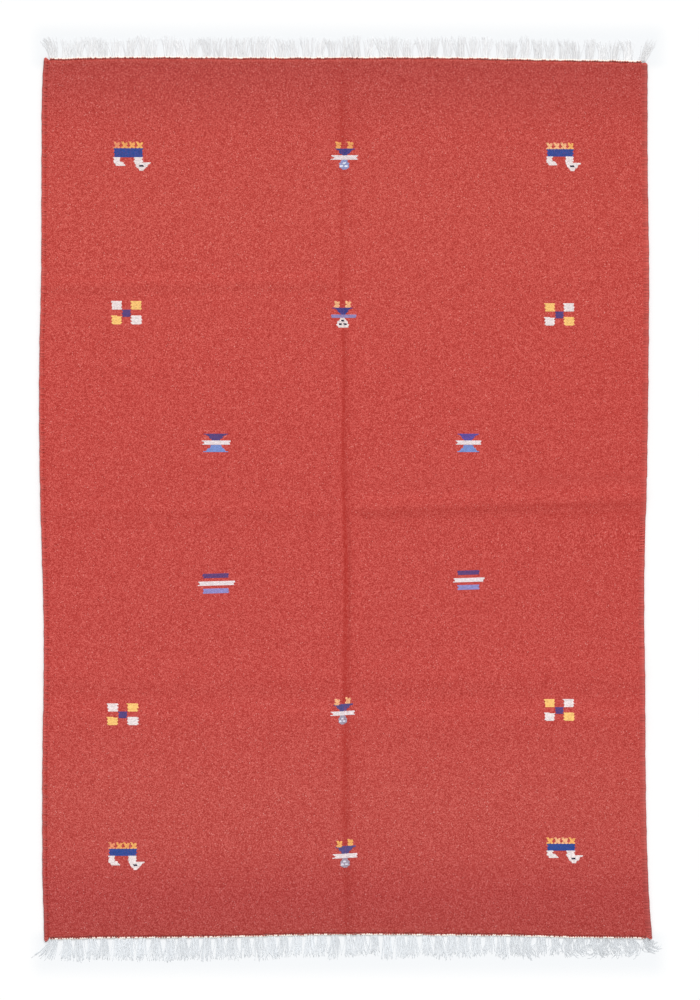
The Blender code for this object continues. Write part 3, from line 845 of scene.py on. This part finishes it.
def dye_lot_and_shade(t):
    """What the dye lot and painted shade at t give back of red, green and blue, read off their table."""
    stations, *lots_and_shade = zip(*DYE_LOTS_AND_SHADE)
    return np.stack([np.interp(t, stations, lot_and_shade) for lot_and_shade in lots_and_shade], axis=-1)


def selvedge(name, side, short, seed, material):
    """Turns of yarn, laid over the rib from its groove to the floor, each a little along from the last."""
    draw = np.random.default_rng(seed)
    start = np.arange(-HALF_LENGTH + TURN_PITCH / 2, HALF_LENGTH - TURN_PITCH / 2, TURN_PITCH)
    start = start + draw.uniform(-TURN_JOG, TURN_JOG, len(start)) * TURN_PITCH
    inward, height, left_tone, right_tone, pale = (np.array(column) for column in zip(*TURN_PATH))
    is_short = draw.random(len(start)) < SHORT_TURNS
    short = short * is_short * draw.uniform(*SHORT_VARIES, len(start))
    inward = inward - short[:, None] * inward / inward[0]
    along = start[:, None] + TURN_SLANT * np.linspace(-0.5, 0.5, len(height))
    s = side * (HALF_WIDTH - inward)
    x, y = on_floor(s, along)
    z = height + underside(s, along) - UNDERSIDE_CLEARANCE
    tone = (left_tone if side < 0 else right_tone) * draw.uniform(*TURN_TONES, (len(start), 1))
    tone = tone * line_through(SELVEDGE_TONES, 2 if side < 0 else 3, along)
    # painted highlight: the crest and the outer side turn towards the kemp's pale colour
    red = np.array(linear(SELVEDGE_RED)[:3]) * (1 - pale)[:, None] + np.outer(pale, linear(KEMP)[:3])
    dyes = red * dye_lot_and_shade(along) * tone[..., None]
    paths = np.stack((x, y, z), axis=2)
    return new_yarns(name, paths, TURN_HALF_WIDTH, TURN_HALF_HEIGHT, dyes, material, (0.0, 1.0, 0.0))


for name, side, short, seed in SIDES_WRAPPED:
    wrapped = selvedge(name, side, short, seed, dyed_yarn)
    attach(wrapped, "root")

# ----------------------------------------------------------
# The headings: at each end two cream cotton yarns are twined across the warps, and hold the last
# picks of red wool, whose loops bulge out between the warps and give the edge its small dark teeth.
# ----------------------------------------------------------
HEADING_GAP = -0.0010  # the loops of the last picks lie over the heading's inner edge
HEADING_WIDTH = 0.0056
HEADING_INSET = 0.016  # the heading starts this far in from the cloth's sides
CROSSING_PITCH = 0.0053  # from one crossing of the two yarns to the next
PLY_OFFSET = 0.0013  # from the middle of the heading to the middle of each of its yarns
PLY_RISE = 0.0005  # how far a yarn rises above the middle height, and dips below it
PLY_HALF_WIDTH = 0.0015
PLY_HALF_HEIGHT = 0.0010
PLY_LIFT = 0.0011  # from the floor to the lowest point of the yarns: the warps pass beneath them
PLY_STATIONS = 8  # in one full turn of the yarns
LOOP_LENGTH = 0.0066
LOOP_HALF_WIDTH = 0.0020
LOOP_HALF_HEIGHT = 0.0010
LOOP_TAPER = (0.4, 0.85, 1.0, 0.85, 0.4)  # share of its width and height at stations from end to end
LOOP_BULGE = 0.0022  # how far a loop bulges out in its middle
LOOP_PROUD = 0.0026  # and how far it rises there
LOOP_BULGES = (0.35, 1.25)  # least and greatest share of them that a loop has
LOOP_TONES = (0.75, 1.25)  # as FLOAT_TONES, of a loop
LOOP_RED = "#B04E46"
CREAM = "#FFF5EA"


def heading(name, end, material):
    """Two yarns on a helix about the line beside the cloth's end, half a turn apart."""
    half = HALF_WIDTH - HEADING_INSET
    count = round(2 * half / (2 * CROSSING_PITCH) * PLY_STATIONS)
    s = np.linspace(-half, half, count)
    x, y = on_floor(s, np.full(count, end * HALF_LENGTH), with_ears=False)
    y = y + end * (HEADING_GAP + HEADING_WIDTH / 2)
    turn = math.pi * s / CROSSING_PITCH + np.array([[0.0], [math.pi]])
    z = PLY_LIFT + PLY_HALF_HEIGHT + PLY_RISE * (1 + np.sin(turn))
    paths = np.stack((np.broadcast_to(x, z.shape), y + PLY_OFFSET * np.cos(turn), z), axis=2)
    dyes = np.tile(linear(CREAM)[:3], (2, 1))
    return new_yarns(name, paths, PLY_HALF_WIDTH, PLY_HALF_HEIGHT, dyes, material)


def last_loops(name, seed, material):
    """The loops of the last picks at both ends: short round yarns, tucked in at each warp."""
    draw = np.random.default_rng(seed)
    count = round((CLOTH_WIDTH - 2 * HEADING_INSET) / LOOP_LENGTH)
    joints = np.linspace(-HALF_WIDTH + HEADING_INSET, HALF_WIDTH - HEADING_INSET, count + 1)
    share = np.linspace(0, 1, len(LOOP_TAPER))
    s = joints[:-1, None] + (joints[1:] - joints[:-1])[:, None] * share
    bulge = 4 * share * (1 - share) * draw.uniform(*LOOP_BULGES, (count, 1))
    paths, dyes = [], []
    for end in (1, -1):
        t = end * (HALF_LENGTH - END_TUCK + LOOP_BULGE * bulge)
        x, y = on_floor(s, t, with_ears=False)
        z = underside(s, t) + END_THICKNESS - LOOP_HALF_HEIGHT + LOOP_PROUD * bulge
        paths.append(np.stack((x, y, z), axis=2))
        tone = draw.uniform(*LOOP_TONES, (count, 1)) * dye_lot_and_shade(end * HALF_LENGTH)
        dyes.append(linear(LOOP_RED)[:3] * tone)
    half_widths = np.multiply(LOOP_TAPER, LOOP_HALF_WIDTH)
    half_heights = np.multiply(LOOP_TAPER, LOOP_HALF_HEIGHT)
    return new_yarns(name, np.concatenate(paths), half_widths, half_heights, np.concatenate(dyes), material)


# White cotton warp yarn: undyed, spun fine and hard and plied, so it is smooth and pale, and its twist
# reads as small slanting ridges.
TWIST_SCALE = 260.0  # ridges about 2.4 mm apart, drawn coarser than the twist so that they show
TWIST_UNEVEN = 3.0
# Painted shade in the feet of the twist's ridges and painted light on their tops
TWIST_PAINTED_LIGHT = (0.94, 1.03)  # what the ridges' feet and tops give back of the yarn's colour

cotton, tree, shader = new_material("white cotton warp yarn")
colour = add_node(tree, "Attribute", attribute_name="dye")["Color"]
where = add_node(tree, "TexCoord")["Object"]
ridges = {"Vector": where, "Scale": TWIST_SCALE, "Distortion": TWIST_UNEVEN}
twist = add_node(tree, "TexWave", ridges, bands_direction="DIAGONAL")["Fac"]
light = add_node(tree, "MapRange", [twist, 0.0, 1.0, *TWIST_PAINTED_LIGHT])[0]
colour = add_node(tree, "VectorMath", {0: colour, "Scale": light}, operation="SCALE")[0]
tree.links.new(colour, shader.inputs["Base Color"])
bump = add_node(tree, "Bump", {"Strength": 0.3, "Distance": 0.0002, "Height": twist})[0]
tree.links.new(bump, shader.inputs["Normal"])
shader.inputs["Roughness"].default_value = 0.8
shader.inputs["Specular IOR Level"].default_value = 0.25

loops = last_loops("last_picks", 41, dyed_yarn)
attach(loops, "root")
for name, end, node in (("heading_far", 1, "fringe_top"), ("heading_near", -1, "fringe_bottom")):
    twined = heading(name, end, cotton)
    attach(twined, "root")
    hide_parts(node)

# ----------------------------------------------------------
# The fringes: the cotton warps run on past the headings and are left loose in 47 locks an end. The
# yarns of a lock leave together, splay out on the floor and curl as their twist comes undone.
# ----------------------------------------------------------
LOCKS = 47
LOCK_SPAN = (-0.7744, 0.7804)  # s of the first and the last lock
STRANDS_A_LOCK = 3
YARNS_A_STRAND = 9
YARN_HALF_WIDTH = 0.00068  # the yarns lie a little flattened as their twist comes undone
YARN_HALF_HEIGHT = 0.00036
YARN_TIP = 0.65  # share of its width and height left at a yarn's frayed tip
YARN_STATIONS = 11
ROOT_HEIGHT = 0.0019  # of the yarns where they leave the heading
COMES_DOWN = 0.25  # share of a yarn's way on which it comes down from the heading to the floor
LAYERS = 4  # a yarn lies up to this many half heights above those on the floor
SINKS = 0.8  # share of that by which it is nearer the floor at its tip
STRAND_WIDTH = 0.0056  # from its first yarn to its last
STRAND_CURL = 1.3  # above 1, a yarn leaves the heading square and leans more towards its tip
LOCK_ROOT_SPREAD = 0.0064  # between a lock's strands where they leave the heading
LOCK_TIP_SPREAD = 0.0088
LOCK_REACH = {1: 0.054, -1: 0.059}  # at the far end and at the near end
REACH_VARIES = 0.004  # a lock's reach, lean, bow and place vary by this much either way
LEAN_VARIES = 0.0060
BOW_VARIES = 0.0030
PLACE_VARIES = 0.0028
LOCK_TONES = (0.89, 1.00)  # as FLOAT_TONES, of a lock
CORNER_ROOT_SPREAD = 0.0076  # as LOCK_ROOT_SPREAD, of the locks at the corners
CORNER_YARN = 0.006  # distance in from the side of the outermost yarn
CORNER_STRAY = 0.3  # a corner lock's yarns keep together, and stray by this share of the others' ways
CORNER_LOCKS = {  # (end, side): shift outwards, lean, reach, spread of the tips, loss of reach, tone
    (1, -1): (0.000, 0.014, 0.052, 0.0100, 0.003, 0.90),
    (1, 1): (0.007, 0.027, 0.053, 0.0085, 0.003, 0.87),
    (-1, -1): (0.000, 0.027, 0.051, 0.0165, 0.004, 0.91),
    (-1, 1): (0.006, 0.020, 0.040, 0.0140, 0.006, 0.91),
}
LONG_LOCK = (-1, 2)  # end and number of the one lock that hangs out further than its neighbours
LONG_LOCK_REACH = 0.068
LONG_SHARE = 0.10  # share of its yarns that are long
# The light left is painted shade among the tangled curls at the near end's right corner.
CURLS = (  # end, s, radius of the curls towards the tips, turns of a curl, share of the reach and light left
    (1, -0.80, 0.0034, 0.8, 1.00, 1.00),
    (1, -0.60, 0.0024, 0.7, 1.00, 1.00),
    (1, 0.60, 0.0022, 0.6, 1.00, 1.00),
    (1, 0.80, 0.0030, 0.7, 1.00, 1.00),
    (-1, -0.80, 0.0014, 0.5, 1.00, 1.00),
    (-1, 0.30, 0.0016, 0.5, 1.00, 1.00),
    (-1, 0.50, 0.0050, 1.0, 0.90, 0.97),
    (-1, 0.62, 0.0100, 1.2, 0.78, 0.91),
    (-1, 0.80, 0.0125, 1.4, 0.69, 0.88),
)
LOCK_TURNS = 0.4  # radians that the curls of a lock's yarns start before or after one another at most
CURL_OPENS = 1.3  # above 1, the radius of a curl grows mostly towards the tip
RADIUS_VARIES = (0.4, 1.4)  # least and greatest share of the curls' radius that a yarn has
TURNS_VARY = (0.7, 1.2)  # and of their turns
LENGTH_VARIES = (0.76, 1.08)  # and of the reach of its lock
COTTON_WHITES = {1: "#F3F3F4", -1: "#ECF0F4"}  # at the far end and at the near end
YARN_TONES = (0.96, 1.03)  # as FLOAT_TONES, of a yarn
SPLAY = 2.4  # how much wider the yarns of a strand lie at their tips than where they start
TIP_SHIFT = 0.4  # share of a strand's width that a yarn's tip lies off its even place at most
STRAY = (0.004, 0.010)  # how far a yarn strays into the gap beside its lock at most, at root and tip


def lock_shapes(end, draw):
    """Place, lean, reach, spread of the tips, loss of reach to the outer side, bow and tone of each lock."""
    places = np.linspace(*LOCK_SPAN, LOCKS)
    shapes = []
    for number in range(LOCKS):
        lean = draw.uniform(-LEAN_VARIES, LEAN_VARIES)
        reach = LOCK_REACH[end] + draw.uniform(-REACH_VARIES, REACH_VARIES)
        bow = draw.uniform(-BOW_VARIES, BOW_VARIES)
        place = places[number] + draw.uniform(-PLACE_VARIES, PLACE_VARIES)
        tone = draw.uniform(*LOCK_TONES)
        spread = LOCK_TIP_SPREAD
        rake = 0.0
        side = -1 if number == 0 else 1
        if number in (0, LOCKS - 1):
            shift, lean, reach, spread, rake, tone = CORNER_LOCKS[end, side]
            place = places[number] + shift * side
            lean *= side
            bow = 0.0
        if (end, number) == LONG_LOCK:
            reach = LONG_LOCK_REACH
        shapes.append((place, lean, reach, spread, rake * side, bow, tone))
    return np.array(shapes)


def at_curls(column, end, s):
    """One column of the table of curls, read off at s."""
    rows = [row for row in CURLS if row[0] == end]
    return np.interp(s, [row[1] for row in rows], [row[column] for row in rows])


def fringe(name, end, shape_seed, seed, material):
    """All the loose yarns of one end. A yarn's plan is its lock's lean, bow and reach, plus its own place
    across its strand, which widens towards the tip, plus a circle whose radius grows along the way and
    whose start the yarns of a lock share. It comes down from the heading to the floor and lies over or
    under its neighbours."""
    draw = np.random.default_rng(seed)
    shapes = lock_shapes(end, random.Random(shape_seed))
    per_lock = STRANDS_A_LOCK * YARNS_A_STRAND
    root, lean, reach, spread, rake, bow, tone = np.repeat(shapes, per_lock, axis=0).T[..., None]
    lock = np.repeat(np.arange(LOCKS), per_lock)[:, None]
    at_corner = lock % (LOCKS - 1) == 0
    root_spread = np.where(at_corner, CORNER_ROOT_SPREAD, LOCK_ROOT_SPREAD)
    beside = np.tile(np.repeat(np.arange(STRANDS_A_LOCK) - 1.0, YARNS_A_STRAND), LOCKS)[:, None]
    place = np.tile(np.linspace(-0.5, 0.5, YARNS_A_STRAND), LOCKS * STRANDS_A_LOCK)[:, None]
    count = (len(root), 1)
    stray = draw.uniform(-1, 1, count) ** 3 * np.where(at_corner, CORNER_STRAY, 1.0)
    curl = at_curls(2, end, root)
    stray = stray * (1 + (curl / STRAY[1]) ** 2)
    way = np.linspace(0, 1, YARN_STATIONS)
    s = root + beside * root_spread + place * STRAND_WIDTH + stray * STRAY[0]
    s = np.clip(s, CORNER_YARN - HALF_WIDTH, HALF_WIDTH - CORNER_YARN)
    x, y = on_floor(s, np.full(s.shape, end * HALF_LENGTH), with_ears=False)
    held_back = (lock == LONG_LOCK[1]) & (end == LONG_LOCK[0]) & (draw.random(count) > LONG_SHARE)
    length = draw.uniform(*LENGTH_VARIES, count) * np.where(held_back, LOCK_REACH[end] / LONG_LOCK_REACH, 1)
    length = length * at_curls(4, end, root) * way
    tip = place + draw.uniform(-TIP_SHIFT, TIP_SHIFT, count)
    splay = tip * STRAND_WIDTH * SPLAY + stray * STRAY[1]
    sideways = lean + beside * (spread - root_spread) + splay
    radius = curl * draw.uniform(*RADIUS_VARIES, count) * way**CURL_OPENS
    handed = np.repeat(draw.choice((-1.0, 1.0), LOCKS), per_lock)[:, None]
    turns = at_curls(3, end, root) * handed * draw.uniform(*TURNS_VARY, count)
    start = np.repeat(draw.uniform(0, 2 * math.pi, LOCKS), per_lock)[:, None]
    turn = start + draw.uniform(-LOCK_TURNS, LOCK_TURNS, count) + 2 * math.pi * turns * way
    plan_x = sideways * length**STRAND_CURL + bow * np.sin(math.pi * way) + radius * np.cos(turn)
    plan_y = HEADING_GAP + HEADING_WIDTH / 2 + length * (reach - beside * rake) + radius * np.sin(turn)
    layer = YARN_HALF_HEIGHT * (1 + draw.uniform(0, LAYERS, count) * (1 - SINKS * way))
    down = ease(way / COMES_DOWN)
    height = ROOT_HEIGHT * (1 - down) + layer * down
    paths = np.stack((x + plan_x, y + end * plan_y, height), axis=2)
    dyes = np.array(linear(COTTON_WHITES[end])[:3]) * draw.uniform(*YARN_TONES, count)
    # painted shade among the tangled curls
    dyes = dyes * tone * at_curls(5, end, root)
    taper = 1 - (1 - YARN_TIP) * ease(way * 2 - 1)
    return new_yarns(name, paths, taper * YARN_HALF_WIDTH, taper * YARN_HALF_HEIGHT, dyes, material)


for name, end, node, shape_seed, seed in (
    ("fringe_far", 1, "fringe_top", 11, 51),
    ("fringe_near", -1, "fringe_bottom", 12, 52),
):
    loose = fringe(name, end, shape_seed, seed, cotton)
    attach(loose, "root")
    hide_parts(node)

# ----------------------------------------------------------
# The stage: a plain near-white floor under soft studio light that comes mostly from above, with one
# wide lamp beyond the rug's far end. The camera looks straight down, as the photograph does.
# ----------------------------------------------------------
FLOOR_SIZE = 14.0
FLOOR_DROP = 0.0002  # so that the floor doesn't cut into the faces that rest on it
LAMP_ELEVATION = 48  # degrees above the floor
LAMP_AZIMUTH = 12  # degrees from +Y towards +X
LAMP_WIDTH = 45  # degrees that it fills of the sky
LAMP_STRENGTH = 2.2
STUDIO_STRENGTH = 0.62
CAMERA_HEIGHT = 5.0
FRAME_LENGTH = 2.64  # the photograph's 1000 pixels at 2.64 mm
FRAME_MIDDLE = (0.0037, 0.0010)  # what the middle of the photograph shows

FLOOR_WHITE = "#F2F2F2"
FLOOR_SHADED = "#E9EBED"  # painted shade beside the fringes, whose fluff takes a little of the light
SHADE_EDGES = (  # axis, distance from the middle where the shade starts to change and ends, share at both
    ("X", 0.80, 0.86, 1.0, 0.0),
    ("Y", 1.22, 1.28, 1.0, 0.0),
    ("Y", 1.13, 1.16, 0.0, 1.0),
)

# Matt white paint on a smooth floor: without gloss, so pale that the light whites it out, and painted
# a little darker beside the fringes as shade.
floor_paint, tree, shader = new_material("matt white floor paint")
where = add_node(tree, "TexCoord")["Object"]
place = add_node(tree, "SeparateXYZ", [where])
near = 1.0
for axis, *edge in SHADE_EDGES:
    away = add_node(tree, "Math", [place[axis]], operation="ABSOLUTE")[0]
    share = add_node(tree, "MapRange", [away, *edge], interpolation_type="SMOOTHSTEP")[0]
    near = add_node(tree, "Math", [share, near], operation="MULTIPLY")[0]
# painted shade beside the fringes
colours = {0: near, 6: linear(FLOOR_WHITE), 7: linear(FLOOR_SHADED)}
white = add_node(tree, "Mix", colours, data_type="RGBA")[2]
tree.links.new(white, shader.inputs["Base Color"])
shader.inputs["Roughness"].default_value = 0.9
shader.inputs["Specular IOR Level"].default_value = 0.1
half = FLOOR_SIZE / 2
corners = np.array([(-half, -half), (half, -half), (half, half), (-half, half)])
corners = np.column_stack((corners, np.full(4, -FLOOR_DROP)))
floor = new_piece("floor", corners, np.array([[0, 1, 2, 3]]), floor_paint)

world = bpy.data.worlds.new("white studio")
world.use_nodes = True
world.node_tree.nodes["Background"].inputs["Color"].default_value = (1.0, 1.0, 1.0, 1.0)
world.node_tree.nodes["Background"].inputs["Strength"].default_value = STUDIO_STRENGTH
bpy.context.scene.world = world

lamp = bpy.data.lights.new("wide lamp", "SUN")
lamp.energy = LAMP_STRENGTH
lamp.angle = math.radians(LAMP_WIDTH)
lamp_object = bpy.data.objects.new("wide lamp", lamp)
lamp_object.rotation_euler = (-math.radians(90 - LAMP_ELEVATION), 0, -math.radians(LAMP_AZIMUTH))
bpy.context.scene.collection.objects.link(lamp_object)

camera = bpy.data.cameras.new("camera")
camera.sensor_width = 36.0
camera.lens = camera.sensor_width * CAMERA_HEIGHT / FRAME_LENGTH
camera_object = bpy.data.objects.new("camera", camera)
camera_object.location = (*FRAME_MIDDLE, CAMERA_HEIGHT + CLOTH_THICKNESS)
bpy.context.scene.collection.objects.link(camera_object)
bpy.context.scene.camera = camera_object
bpy.context.scene.view_settings.view_transform = "Standard"
